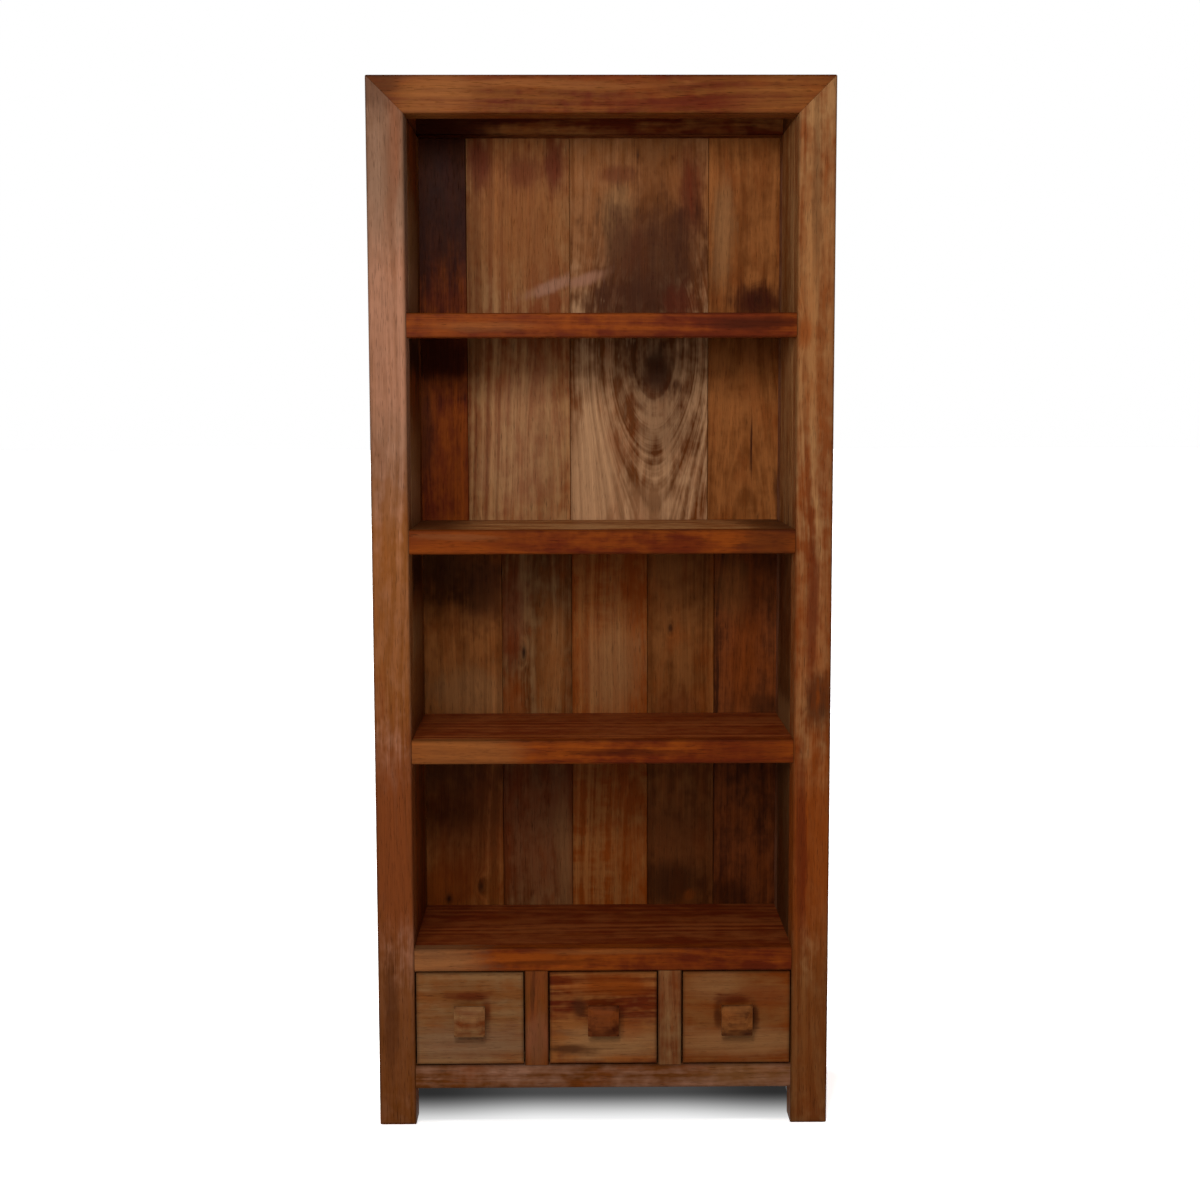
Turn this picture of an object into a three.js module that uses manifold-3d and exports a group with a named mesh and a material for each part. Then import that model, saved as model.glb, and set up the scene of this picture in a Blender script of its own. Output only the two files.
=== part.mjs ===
import * as THREE from 'three';
import { mergeVertices } from 'three/addons/utils/BufferGeometryUtils.js';
import Module from 'manifold-3d';

// A bookcase in dark stained hardwood: square posts joined to a thick top frame by mitres,
// three fixed shelves, a deck, and three inset drawers on guides between the deck and the floor.
// Lengths are millimetres. The front face lies at y = 0 while the pieces are made, the back is
// at y = depth, x = 0 is the middle and the feet stand at z = 0.

const wasm = await Module();
wasm.setup();

// Overall sizes.
const width = 800;
const depth = 350;
const height = 1834;
const legClearance = 66;
const drawerOpeningHeight = 172;

// How the clear height above the deck is divided, from the lowest bay to the top one.
const bayShares = [0.2506, 0.2475, 0.2498, 0.2521];

// Timber sections.
const post = { side: 65, ease: 2 };
const rail = { height: 42, thickness: 30, ease: 1.5 };
const backRail = { thickness: 36 };
const shelfBoard = { thickness: 30 };
const topPanel = { thickness: 25 };
const sidePanel = { thickness: 28 };
const caseFloor = { thickness: 18 };
const backBoard = { thickness: 15, lap: 12, spacing: 0.6, ease: 0.8 };

// Where the back boards meet, from the left edge to the right edge of the back.
const upperBoardShares = [0, 0.143, 0.42, 0.792, 1];
const lowerBoardShares = [0, 0.231, 0.422, 0.629, 0.812, 1];

// Joints.
const tongue = { thickness: 10, depth: 8 };
const tenon = { length: 20, shoulder: 8, thickness: 10 };
const dividerTenon = { length: 12 };
const backTongue = { thickness: 5, depth: 6 };
const mitreGap = 0.3;
const fitGap = 0.3;
const overrun = 40;

// Drawers.
const drawer = {
  count: 3,
  frontGap: 2.5,
  frontThickness: 22,
  wall: 12,
  inset: 6,
  housing: 10,
  floorThickness: 6,
  floorLift: 10,
  grooveDepth: 5,
  backDrop: 8,
  runningGap: 0.3,
  ease: 1.5,
};
const guideFrame = { height: 18, stopThickness: 24, stopHeight: 22 };
const kickerFrame = { endThickness: 30 };

// Knobs and screws.
const knob = {
  headSide: 55,
  faceSide: 24,
  baseSide: 30,
  neckSide: 26,
  neckLength: 14,
  edgeLength: 8,
  faceRise: 6,
};
const knobScrew = { headRadius: 4.5, headHeight: 2.5, radius: 2, bite: 15, sides: 8 };

// Stain and lacquer colours, as sRGB.
const colours = {
  post: 0x87573a,
  topRail: 0x6c3918,
  shelf: 0x6a3214,
  panel: 0x5a2c14,
  deck: 0x66301a,
  drawerBox: 0x8a6238,
  knob: 0x6b3a20,
  steel: 0x8f8a80,
};
const upperBoardColours = [0x4f2412, 0x734726, 0x674022, 0x6b4024];
const lowerBoardColours = [0x5b2d16, 0x5f3219, 0x713c1c, 0x57271a, 0x4d210d];
const drawerFrontColours = [0x693f27, 0x69371c, 0x63371e];

// Places that follow from the sizes.
const outer = width / 2;
const inner = outer - post.side;
const rearPostFront = depth - post.side;
const backFace = depth - backBoard.thickness;
const backRailFront = depth - backRail.thickness;
const floorTop = legClearance + rail.height;
const deckUnder = floorTop + drawerOpeningHeight;
const deckTop = deckUnder + rail.height;
const topRailUnder = height - post.side;
const shelfUnders = [];
const clearHeight = topRailUnder - deckTop - (bayShares.length - 1) * rail.height;
let nextTop = deckTop;
for (const share of bayShares.slice(0, -1)) {
  shelfUnders.push(nextTop + share * clearHeight);
  nextTop = shelfUnders.at(-1) + rail.height;
}
const shelfTops = shelfUnders.map((under) => under + rail.height);
const knobProjection = knob.neckLength + knob.edgeLength + knob.faceRise;
const backEdge = inner + backBoard.lap;
const backSplit = shelfTops[1] - shelfBoard.thickness / 2;
const backBottom = floorTop - backBoard.lap;
const backTop = topRailUnder + backBoard.lap;

// Drawer places, for one drawer about its own middle.
const openingWidth = (2 * inner - (drawer.count - 1) * rail.height) / drawer.count;
const drawerPitch = openingWidth + rail.height;
const frontHalf = openingWidth / 2 - drawer.frontGap;
const sideOuter = frontHalf - drawer.inset;
const sideInner = sideOuter - drawer.wall;
const frontBottom = floorTop + drawer.frontGap;
const frontTop = deckUnder - drawer.frontGap;
const sideBottom = floorTop + drawer.runningGap;
const drawerFloorBottom = sideBottom + drawer.floorLift;
const drawerFloorTop = drawerFloorBottom + drawer.floorThickness;
const sideStart = drawer.frontThickness - drawer.housing;
const guideEdge = openingWidth / 2 - sideOuter - drawer.runningGap;
const runnerEnd = backRailFront;
const stopFace = runnerEnd - guideFrame.stopThickness;
const drawerEnd = stopFace - drawer.runningGap;

const axes = {
  x: new THREE.Vector3(1, 0, 0),
  y: new THREE.Vector3(0, 1, 0),
  z: new THREE.Vector3(0, 0, 1),
};
const grains = {
  x: [axes.y, axes.z, axes.x],
  y: [axes.z, axes.x, axes.y],
  z: [axes.x, axes.y, axes.z],
};

// Solids

function solidFrom(geometry) {
  geometry.deleteAttribute('normal');
  geometry.deleteAttribute('uv');
  const merged = mergeVertices(geometry);
  return new wasm.Manifold(new wasm.Mesh({
    numProp: 3,
    vertProperties: Float32Array.from(merged.attributes.position.array),
    triVerts: Uint32Array.from(merged.index.array),
  }));
}

function geometryFrom(solid) {
  const { vertProperties, triVerts } = solid.getMesh();
  const geometry = new THREE.BufferGeometry();
  geometry.setAttribute('position', new THREE.BufferAttribute(vertProperties, 3));
  geometry.setIndex(new THREE.BufferAttribute(triVerts, 1));
  geometry.computeVertexNormals();
  return geometry;
}

function union(solids) {
  return solids.reduce((sum, solid) => sum.add(solid));
}

function middle([low, high]) {
  return (low + high) / 2;
}

function around(centre, size) {
  return [centre - size / 2, centre + size / 2];
}

function block({ x, y, z }) {
  const geometry = new THREE.BoxGeometry(x[1] - x[0], y[1] - y[0], z[1] - z[0]);
  geometry.translate(middle(x), middle(y), middle(z));
  return solidFrom(geometry);
}

// A board whose four long edges are eased. Its grain, and its length, run along one axis.
function timber(grain, { x, y, z }, ease = rail.ease) {
  const [across, up, along] = grains[grain];
  const low = new THREE.Vector3(x[0], y[0], z[0]);
  const size = new THREE.Vector3(x[1], y[1], z[1]).sub(low);
  const [a, b] = [size.dot(across), size.dot(up)];
  const section = new THREE.Shape([
    new THREE.Vector2(ease, 0),
    new THREE.Vector2(a - ease, 0),
    new THREE.Vector2(a, ease),
    new THREE.Vector2(a, b - ease),
    new THREE.Vector2(a - ease, b),
    new THREE.Vector2(ease, b),
    new THREE.Vector2(0, b - ease),
    new THREE.Vector2(0, ease),
  ]);
  const geometry = new THREE.ExtrudeGeometry(section, { depth: size.dot(along), bevelEnabled: false });
  geometry.applyMatrix4(new THREE.Matrix4().makeBasis(across, up, along).setPosition(low));
  return solidFrom(geometry);
}

// A turned piece whose axis runs along y, from the profile's start towards the back.
function turned(profile, sides, startAngle = 0) {
  const points = profile.map(([radius, station]) => new THREE.Vector2(radius, station));
  return solidFrom(new THREE.LatheGeometry(points, sides, startAngle));
}

// Everything on the outward side of a plane, near one corner of the top.
function beyond(point, outward) {
  const reach = 4 * post.side;
  const geometry = new THREE.BoxGeometry(reach, reach, reach);
  geometry.translate(0, 0, reach / 2);
  geometry.applyQuaternion(new THREE.Quaternion().setFromUnitVectors(axes.z, outward));
  geometry.translate(point.x, point.y, point.z);
  return solidFrom(geometry);
}

// Joints between the fixed pieces

function tongueThickness(range) {
  return around(middle(range), tongue.thickness);
}

function shelfTongue(top) {
  return block({
    x: [-inner - tongue.depth, inner + tongue.depth],
    y: [rail.thickness - tongue.depth, backFace],
    z: tongueThickness([top - shelfBoard.thickness, top]),
  });
}

function floorTongue() {
  return block({
    x: [-inner, inner],
    y: [rail.thickness - tongue.depth, backRailFront + tongue.depth],
    z: tongueThickness([floorTop - caseFloor.thickness, floorTop]),
  });
}

function sideTongue(side) {
  return block({
    x: tongueThickness(sideSpan(side, sidePanel.thickness)),
    y: [post.side - tongue.depth, rearPostFront + tongue.depth],
    z: [floorTop - tongue.depth, topRailUnder + tongue.depth],
  });
}

function topTongue() {
  return block({
    x: [-inner - tongue.depth, inner + tongue.depth],
    y: [post.side - tongue.depth, rearPostFront + tongue.depth],
    z: tongueThickness([height - topPanel.thickness, height]),
  });
}

// The span in x of a piece that lies against the inner face line, left (-1) or right (+1).
function sideSpan(side, thickness) {
  return side < 0 ? [-inner - thickness, -inner] : [inner, inner + thickness];
}

function railTenon(under, y) {
  return block({
    x: [-inner - tenon.length, inner + tenon.length],
    y: around(middle(y), tenon.thickness),
    z: [under + tenon.shoulder, under + rail.height - tenon.shoulder],
  });
}

function sideRailTenon(side) {
  return block({
    x: around(middle(sideSpan(side, sidePanel.thickness)), tenon.thickness),
    y: [post.side - tenon.length, rearPostFront + tenon.length],
    z: [legClearance + tenon.shoulder, floorTop - tenon.shoulder],
  });
}

function dividerTenons(centre) {
  return block({
    x: around(centre, rail.height - 2 * tenon.shoulder),
    y: around(rail.thickness / 2, tenon.thickness),
    z: [floorTop - dividerTenon.length, deckUnder + dividerTenon.length],
  });
}

// The rebate behind the back boards, cut from the rear posts, the top rail and the back rail.
function backPocket() {
  return block({
    x: [-backEdge, backEdge],
    y: [backFace, depth + overrun],
    z: [backBottom, backTop],
  });
}

const frontRailDepth = [0, rail.thickness];
const backRailDepth = [backRailFront, depth];
const backTenonDepth = [backRailFront, backFace];
const railUnders = [legClearance, deckUnder, ...shelfUnders];
const dividerCentres = Array.from(
  { length: drawer.count - 1 },
  (_, index) => (index + 1 - drawer.count / 2) * drawerPitch,
);
const drawerCentres = Array.from(
  { length: drawer.count },
  (_, index) => (index - (drawer.count - 1) / 2) * drawerPitch,
);

const joinery = union([
  ...shelfTops.map(shelfTongue),
  shelfTongue(deckTop),
  sideTongue(-1),
  sideTongue(1),
  topTongue(),
  ...railUnders.map((under) => railTenon(under, frontRailDepth)),
  railTenon(legClearance, backTenonDepth),
  sideRailTenon(-1),
  sideRailTenon(1),
  backPocket(),
]);

// Frame

function corner(side, end) {
  return {
    point: new THREE.Vector3(side * outer, end < 0 ? 0 : depth, height),
    inward: {
      x: new THREE.Vector3(-side, 0, 0),
      y: new THREE.Vector3(0, -end, 0),
      z: new THREE.Vector3(0, 0, -1),
    },
  };
}

// Trims a member that runs along one axis to its share of a three-way mitre.
function mitre(solid, { point, inward }, own) {
  const others = Object.keys(inward).filter((axis) => axis !== own);
  return others.reduce((trimmed, other) => {
    const outward = inward[other].clone().sub(inward[own]).normalize();
    const face = point.clone().addScaledVector(outward, -mitreGap / 2);
    return trimmed.subtract(beyond(face, outward));
  }, solid);
}

function outerSpan(side) {
  return side < 0 ? [-outer, -inner] : [inner, outer];
}

function endSpan(end) {
  return end < 0 ? [0, post.side] : [rearPostFront, depth];
}

function postSolid(side, end) {
  const stock = timber('z', { x: outerSpan(side), y: endSpan(end), z: [0, height] }, post.ease);
  return mitre(stock.subtract(joinery), corner(side, end), 'z');
}

function topRailAcross(end) {
  const stock = timber('x', { x: [-outer, outer], y: endSpan(end), z: [topRailUnder, height] }, post.ease);
  return [-1, 1].reduce((rest, side) => mitre(rest, corner(side, end), 'x'), stock.subtract(joinery));
}

function topRailAlong(side) {
  const stock = timber('y', { x: outerSpan(side), y: [0, depth], z: [topRailUnder, height] }, post.ease);
  return [-1, 1].reduce((rest, end) => mitre(rest, corner(side, end), 'y'), stock.subtract(joinery));
}

function topPanelSolid() {
  return block({
    x: [-inner, inner],
    y: [post.side, rearPostFront],
    z: [height - topPanel.thickness, height],
  }).add(topTongue());
}

function sidePanelSolid(side) {
  const stock = block({
    x: sideSpan(side, sidePanel.thickness),
    y: [post.side, rearPostFront],
    z: [floorTop, topRailUnder],
  });
  const dados = union([...shelfTops, deckTop].map(shelfTongue));
  return stock.subtract(dados).add(sideTongue(side));
}

function sideRailSolid(side) {
  const stock = timber('y', {
    x: sideSpan(side, sidePanel.thickness),
    y: [post.side, rearPostFront],
    z: [legClearance, floorTop],
  });
  return stock.add(sideRailTenon(side)).subtract(sideTongue(side));
}

// Rails, shelves and floor

function frontRail(under, tongues) {
  const stock = timber('x', {
    x: [-inner, inner],
    y: frontRailDepth,
    z: [under, under + rail.height],
  });
  return stock.add(railTenon(under, frontRailDepth)).subtract(union(tongues));
}

function backRailSolid() {
  const stock = timber('x', { x: [-inner, inner], y: backRailDepth, z: [legClearance, floorTop] });
  const tenoned = stock.add(railTenon(legClearance, backTenonDepth));
  return tenoned.subtract(backPocket()).subtract(floorTongue());
}

function dividerSolid(centre) {
  const stock = timber('z', {
    x: around(centre, rail.height),
    y: frontRailDepth,
    z: [floorTop, deckUnder],
  });
  return stock.add(dividerTenons(centre));
}

function shelfSolid(top) {
  return block({
    x: [-inner, inner],
    y: [rail.thickness, backFace],
    z: [top - shelfBoard.thickness, top],
  }).add(shelfTongue(top));
}

function caseFloorSolid() {
  return block({
    x: [-inner, inner],
    y: [rail.thickness, backRailFront],
    z: [floorTop - caseFloor.thickness, floorTop],
  }).add(floorTongue());
}

// Back boards

// The tongues of the back boards, one at each joint.
function backTongues(joints, z) {
  return joints.map((joint) => block({
    x: around(joint, 2 * backTongue.depth),
    y: around(middle([backFace, depth]), backTongue.thickness),
    z,
  }));
}

function backBoards(shares, z) {
  const edges = shares.map((share) => -backEdge + share * 2 * backEdge);
  const tongues = backTongues(edges.slice(1, -1), z);
  return edges.slice(0, -1).map((low, index) => {
    const board = timber('z', {
      x: [low + backBoard.spacing / 2, edges[index + 1] - backBoard.spacing / 2],
      y: [backFace, depth],
      z,
    }, backBoard.ease);
    const grooved = index > 0 ? board.subtract(tongues[index - 1]) : board;
    return index < tongues.length ? grooved.add(tongues[index]) : grooved;
  });
}

// Drawer runners inside the case

// The span from a drawer's side of an opening inwards, seen from each wall or divider.
function runnerSpans(reach) {
  const walls = [[-inner, -inner + reach], [inner - reach, inner]];
  const middles = dividerCentres.map((centre) => around(centre, rail.height + 2 * reach));
  return [...walls, ...middles];
}

function runnersSolid(reach, z) {
  return union(runnerSpans(reach).map((x) => block({ x, y: [rail.thickness, runnerEnd], z })));
}

// The guides keep the drawers straight. The bar across their rear ends stops the drawers.
function guideFrameSolid() {
  const guides = runnersSolid(guideEdge, [floorTop, floorTop + guideFrame.height]);
  return guides.add(block({
    x: [-inner, inner],
    y: [stopFace, runnerEnd],
    z: [floorTop, floorTop + guideFrame.stopHeight],
  }));
}

// The kickers keep an open drawer from tipping. A bar under the deck joins their rear ends.
function kickerFrameSolid() {
  const z = [deckUnder, deckTop - shelfBoard.thickness];
  const kickers = runnersSolid(guideEdge + drawer.runningGap + drawer.wall, z);
  return kickers.add(block({
    x: [-inner, inner],
    y: [runnerEnd - kickerFrame.endThickness, runnerEnd],
    z,
  }));
}

// Drawers, each made about x = 0 and moved to its opening

function drawerSideBlock(side) {
  const x = side < 0 ? [-sideOuter, -sideInner] : [sideInner, sideOuter];
  return block({ x, y: [sideStart, drawerEnd], z: [sideBottom, frontTop] });
}

function drawerFloorBlock() {
  return block({
    x: [-sideInner - drawer.grooveDepth, sideInner + drawer.grooveDepth],
    y: [drawer.frontThickness - drawer.grooveDepth, drawerEnd],
    z: [drawerFloorBottom, drawerFloorTop],
  });
}

function drawerBackBlock() {
  return block({
    x: [-sideInner - drawer.grooveDepth, sideInner + drawer.grooveDepth],
    y: [drawerEnd - drawer.wall, drawerEnd],
    z: [drawerFloorTop, frontTop - drawer.backDrop],
  });
}

function drawerFrontSolid() {
  const stock = timber('x', {
    x: [-frontHalf, frontHalf],
    y: [0, drawer.frontThickness],
    z: [frontBottom, frontTop],
  }, drawer.ease);
  const housings = union([drawerSideBlock(-1), drawerSideBlock(1), drawerFloorBlock()]);
  return stock.subtract(housings).subtract(knobScrewSolid(fitGap));
}

function drawerSideSolid(side) {
  return drawerSideBlock(side).subtract(drawerFloorBlock()).subtract(drawerBackBlock());
}

function knobSolid() {
  const corners = Math.SQRT2 / 2;
  const profile = [
    [0, -knobProjection],
    [knob.faceSide * corners, -knobProjection],
    [knob.headSide * corners, -knobProjection + knob.faceRise],
    [knob.headSide * corners, -knob.neckLength],
    [knob.neckSide * corners, -knob.neckLength],
    [knob.baseSide * corners, 0],
    [0, 0],
  ];
  const blank = turned(profile, 4, Math.PI / 4).translate([0, 0, middle([frontBottom, frontTop])]);
  return blank.subtract(knobScrewSolid(fitGap));
}

function knobScrewSolid(gap) {
  const { headRadius, headHeight, radius, bite, sides } = knobScrew;
  const seat = drawer.frontThickness;
  return turned([
    [0, -bite - gap],
    [radius + gap, -bite - gap],
    [radius + gap, seat],
    [headRadius + gap, seat],
    [headRadius + gap, seat + headHeight],
    [0, seat + headHeight],
  ], sides).translate([0, 0, middle([frontBottom, frontTop])]);
}

// Assembly

const finishes = {
  wood: { roughness: 0.42, metalness: 0 },
  bare: { roughness: 0.65, metalness: 0 },
  steel: { roughness: 0.35, metalness: 1 },
};

function piece(name, solid, colour, finish = finishes.wood) {
  const material = new THREE.MeshStandardMaterial({ color: colour, ...finish });
  const mesh = new THREE.Mesh(geometryFrom(solid), material);
  mesh.name = name;
  return mesh;
}

const sides = { left: -1, right: 1 };
const ends = { front: -1, rear: 1 };

function frameGroup() {
  const group = new THREE.Group();
  for (const [endName, end] of Object.entries(ends)) {
    for (const [sideName, side] of Object.entries(sides)) {
      group.add(piece(`post_${endName}_${sideName}`, postSolid(side, end), colours.post));
    }
    group.add(piece(`top_rail_${endName}`, topRailAcross(end), colours.topRail));
  }
  for (const [sideName, side] of Object.entries(sides)) {
    group.add(piece(`top_rail_${sideName}`, topRailAlong(side), colours.topRail));
    group.add(piece(`side_panel_${sideName}`, sidePanelSolid(side), colours.panel));
    group.add(piece(`side_rail_${sideName}`, sideRailSolid(side), colours.panel));
  }
  group.add(piece('top_panel', topPanelSolid(), colours.topRail));
  return group;
}

function shelfGroup() {
  const group = new THREE.Group();
  const names = ['lower', 'middle', 'upper'];
  names.forEach((name, index) => {
    const top = shelfTops[index];
    group.add(piece(`shelf_rail_${name}`, frontRail(shelfUnders[index], [shelfTongue(top)]), colours.shelf));
    group.add(piece(`shelf_${name}`, shelfSolid(top), colours.shelf));
  });
  const mortises = union(dividerCentres.map(dividerTenons));
  const deckRail = frontRail(deckUnder, [shelfTongue(deckTop), mortises]);
  const bottomRail = frontRail(legClearance, [floorTongue(), mortises]);
  group.add(piece('deck_rail', deckRail, colours.deck));
  group.add(piece('deck', shelfSolid(deckTop), colours.deck));
  group.add(piece('bottom_rail', bottomRail, colours.deck));
  group.add(piece('back_rail', backRailSolid(), colours.deck));
  group.add(piece('case_floor', caseFloorSolid(), colours.drawerBox, finishes.bare));
  dividerCentres.forEach((centre, index) => {
    group.add(piece(`divider_${index + 1}`, dividerSolid(centre), colours.deck));
  });
  return group;
}

function backGroup() {
  const group = new THREE.Group();
  const upper = backBoards(upperBoardShares, [backSplit, backTop]);
  const lower = backBoards(lowerBoardShares, [backBottom, backSplit]);
  upper.forEach((solid, index) => {
    group.add(piece(`back_board_upper_${index + 1}`, solid, upperBoardColours[index]));
  });
  lower.forEach((solid, index) => {
    group.add(piece(`back_board_lower_${index + 1}`, solid, lowerBoardColours[index]));
  });
  return group;
}

function runnerGroup() {
  const group = new THREE.Group();
  group.add(piece('guide_frame', guideFrameSolid(), colours.drawerBox, finishes.bare));
  group.add(piece('kicker_frame', kickerFrameSolid(), colours.drawerBox, finishes.bare));
  return group;
}

function drawerGroup(name, centre, frontColour) {
  const group = new THREE.Group();
  group.position.x = centre;
  group.add(piece(`${name}_front`, drawerFrontSolid(), frontColour));
  for (const [sideName, side] of Object.entries(sides)) {
    group.add(piece(`${name}_side_${sideName}`, drawerSideSolid(side), colours.drawerBox, finishes.bare));
  }
  group.add(piece(`${name}_back`, drawerBackBlock(), colours.drawerBox, finishes.bare));
  group.add(piece(`${name}_floor`, drawerFloorBlock(), colours.drawerBox, finishes.bare));
  group.add(piece(`${name}_knob`, knobSolid(), colours.knob));
  group.add(piece(`${name}_knob_screw`, knobScrewSolid(0), colours.steel, finishes.steel));
  return group;
}

const bookcase = new THREE.Group();
bookcase.position.y = (knobProjection - depth) / 2;
bookcase.add(frameGroup(), shelfGroup(), backGroup(), runnerGroup());
['drawer_left', 'drawer_middle', 'drawer_right'].forEach((name, index) => {
  bookcase.add(drawerGroup(name, drawerCentres[index], drawerFrontColours[index]));
});

export default bookcase;
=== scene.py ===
"""A bookcase with three bottom drawers: its looks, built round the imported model.

The file is laid out as a Blender add-on and run as a script. Lengths are in metres, in the frame of
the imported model: x to the right, y to the back and z up, with the case standing on z = 0.
"""

import math
from collections import namedtuple

import bmesh
import bpy
from bpy.props import FloatProperty, FloatVectorProperty, IntProperty, PointerProperty
from mathutils import Matrix, Vector


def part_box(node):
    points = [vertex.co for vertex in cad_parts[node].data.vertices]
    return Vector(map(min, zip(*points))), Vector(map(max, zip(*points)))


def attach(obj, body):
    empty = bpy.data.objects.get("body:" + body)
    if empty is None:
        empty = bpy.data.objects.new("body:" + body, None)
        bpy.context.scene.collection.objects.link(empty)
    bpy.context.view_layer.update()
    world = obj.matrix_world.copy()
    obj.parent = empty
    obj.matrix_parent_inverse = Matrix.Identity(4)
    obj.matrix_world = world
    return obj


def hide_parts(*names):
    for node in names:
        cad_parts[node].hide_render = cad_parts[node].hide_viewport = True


bl_info = {
    "name": "Bookcase with bottom drawers",
    "version": (1, 0, 0),
    "blender": (4, 5, 0),
    "location": "3D View > Sidebar > Bookcase",
    "description": "Dresses the packed model of a bookcase with bottom drawers",
    "category": "Object",
}

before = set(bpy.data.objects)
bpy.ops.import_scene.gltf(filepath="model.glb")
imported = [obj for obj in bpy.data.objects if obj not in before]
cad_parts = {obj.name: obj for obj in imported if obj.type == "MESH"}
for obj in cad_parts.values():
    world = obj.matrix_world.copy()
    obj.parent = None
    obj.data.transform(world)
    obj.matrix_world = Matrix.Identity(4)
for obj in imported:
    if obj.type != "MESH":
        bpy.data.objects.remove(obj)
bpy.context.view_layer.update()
MERGE_DISTANCE = 1e-6
FLAT_ANGLE = math.radians(0.5)
EASE_ANGLES = math.radians(35), math.radians(55)
SMOOTH_ANGLE = math.radians(38)
DRAWERS = "left", "middle", "right"
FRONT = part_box("post_front_left")[0].y
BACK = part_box("back_board_upper_1")[1].y
# Half the thickness of a shelf.
SHELF_HALF = 0.015
SCREW_SIDES = 20
KNOB_SCREW_HEAD = 0.0025
KNOB_SCREW_TOP = 0.8
# Length and width of the cross in a screw, of its radius, and its depth, of the head's height.
BACK_CROSS = 1.15, 0.22
KNOB_CROSS = 1.1, 0.24
CROSS_DEPTH = 0.6
BACK_SCREW_SEED = 7
KNOB_SCREW_SEED = 11
WHITE = 1, 1, 1, 1


def length(name, description, default, **more):
    """A length property, in metres."""
    return FloatProperty(name=name, description=description, default=default, subtype="DISTANCE",
                         unit="LENGTH", precision=4, **more)


def number(name, description, default, **more):
    """A property that is never negative."""
    return FloatProperty(name=name, description=description, default=default, min=0, **more)


def share(name, description, default):
    """A property between nothing and one."""
    return FloatProperty(name=name, description=description, default=default, min=0, max=1,
                         subtype="FACTOR")


def stain(name, description, *default):
    """A colour property."""
    return FloatVectorProperty(name=name, description=description, default=default, size=3, min=0,
                               max=1, subtype="COLOR")


class BookcaseStains(bpy.types.PropertyGroup):
    """Tones of the stained hardwood, from which each board's pair is picked."""
    # Some of these tones also serve as painted light, shade and sheen, in the patches marked below.
    straw: stain("Straw", "Palest sapwood, in the middle of the back", 0.40, 0.21, 0.10)
    tan: stain("Tan", "Sapwood of the well lit back boards", 0.25, 0.115, 0.042)
    rosy: stain("Rosy", "Greyish pink wood of the left post", 0.28, 0.125, 0.070)
    honey: stain("Honey", "Golden wood of the right post", 0.22, 0.072, 0.017)
    amber: stain("Amber", "Orange brown of the rails", 0.175, 0.034, 0.003)
    ash: stain("Ash", "Greyish brown at the top of the left post", 0.17, 0.090, 0.052)
    sienna: stain("Sienna", "Warm middle brown", 0.15, 0.036, 0.008)
    chestnut: stain("Chestnut", "Middle brown", 0.13, 0.036, 0.006)
    russet: stain("Russet", "Deep red brown", 0.085, 0.011, 0.002)
    umber: stain("Umber", "Dark heartwood", 0.045, 0.011, 0.003)
    oxblood: stain("Oxblood", "Dark red streaks", 0.040, 0.006, 0.001)
    pitch: stain("Pitch", "Nearly black knots and gaps", 0.012, 0.003, 0.001)
    walnut: stain("Walnut", "Thin stain on the drawer boxes", 0.24, 0.125, 0.055)
    zinc: stain("Zinc", "Plated steel of the screws", 0.20, 0.19, 0.17)


class BookcaseTimber(bpy.types.PropertyGroup):
    """How the wood is figured and finished."""
    ease: length("Eased edge", "Rounding added along each eased edge", 0.0009, min=0)
    ease_steps: IntProperty(name="Ease steps", description="Faces across each rounding", default=2,
                            min=1, max=6)
    ring: length("Growth ring", "Usual distance between growth rings", 0.009, min=0.001)
    pith: length("Pith", "Usual distance from a board to the middle of its tree", 0.09, min=0)
    gloss: share("Lacquer roughness", "Roughness of the lacquered faces", 0.44)
    glow: share("Glow", "Strength of the orange blots in the wood", 0.45)
    outline: length("Outline", "Width of the darker stain along the edges", 0.006, min=0.0001)
    outline_depth: share("Outline depth", "Strength of the darker stain along the edges", 0.42)
    relief: length("Relief", "Depth of the grain under the lacquer", 0.0002, min=0)


class BookcaseKnobs(bpy.types.PropertyGroup):
    """Shape of the drawer knobs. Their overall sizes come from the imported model."""
    neck: share("Neck", "Width of the neck where it meets the head, of the head's", 0.47)
    foot: share("Foot", "Width of the neck where it meets the drawer, of the head's", 0.54)
    face: share("Face", "Width of the flat square on the face, of the head's", 0.44)
    neck_length: length("Neck length", "From the drawer front to the head", 0.014, min=0.001)
    face_rise: length("Face rise", "Height of the four sloping facets", 0.006, min=0)
    corner: length("Corner", "Rounding of the four corners", 0.0016, min=0.0001)
    corner_steps: IntProperty(name="Corner steps", description="Faces round each corner", default=5,
                              min=1, max=12)


class BookcaseScrews(bpy.types.PropertyGroup):
    """Cross-headed screws."""
    head: length("Head radius", "Radius of the countersunk heads in the back", 0.0037, min=0.001)
    head_height: length("Head height", "Height of the countersunk heads", 0.0026, min=0.0005)
    shank: length("Shank radius", "Radius of the thread under the head", 0.0017, min=0.0005)
    shank_length: length("Shank length", "Length of the thread under the head", 0.026, min=0.001)
    sunk: length("Sunk", "How far the heads lie under the back's face", 0.0003, min=0)
    margin: length("Margin", "Room round a head in its countersink", 0.0003, min=0)
    inset: share("Inset", "Place of a screw from the edge of its board, of the board's width", 0.2)


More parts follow.
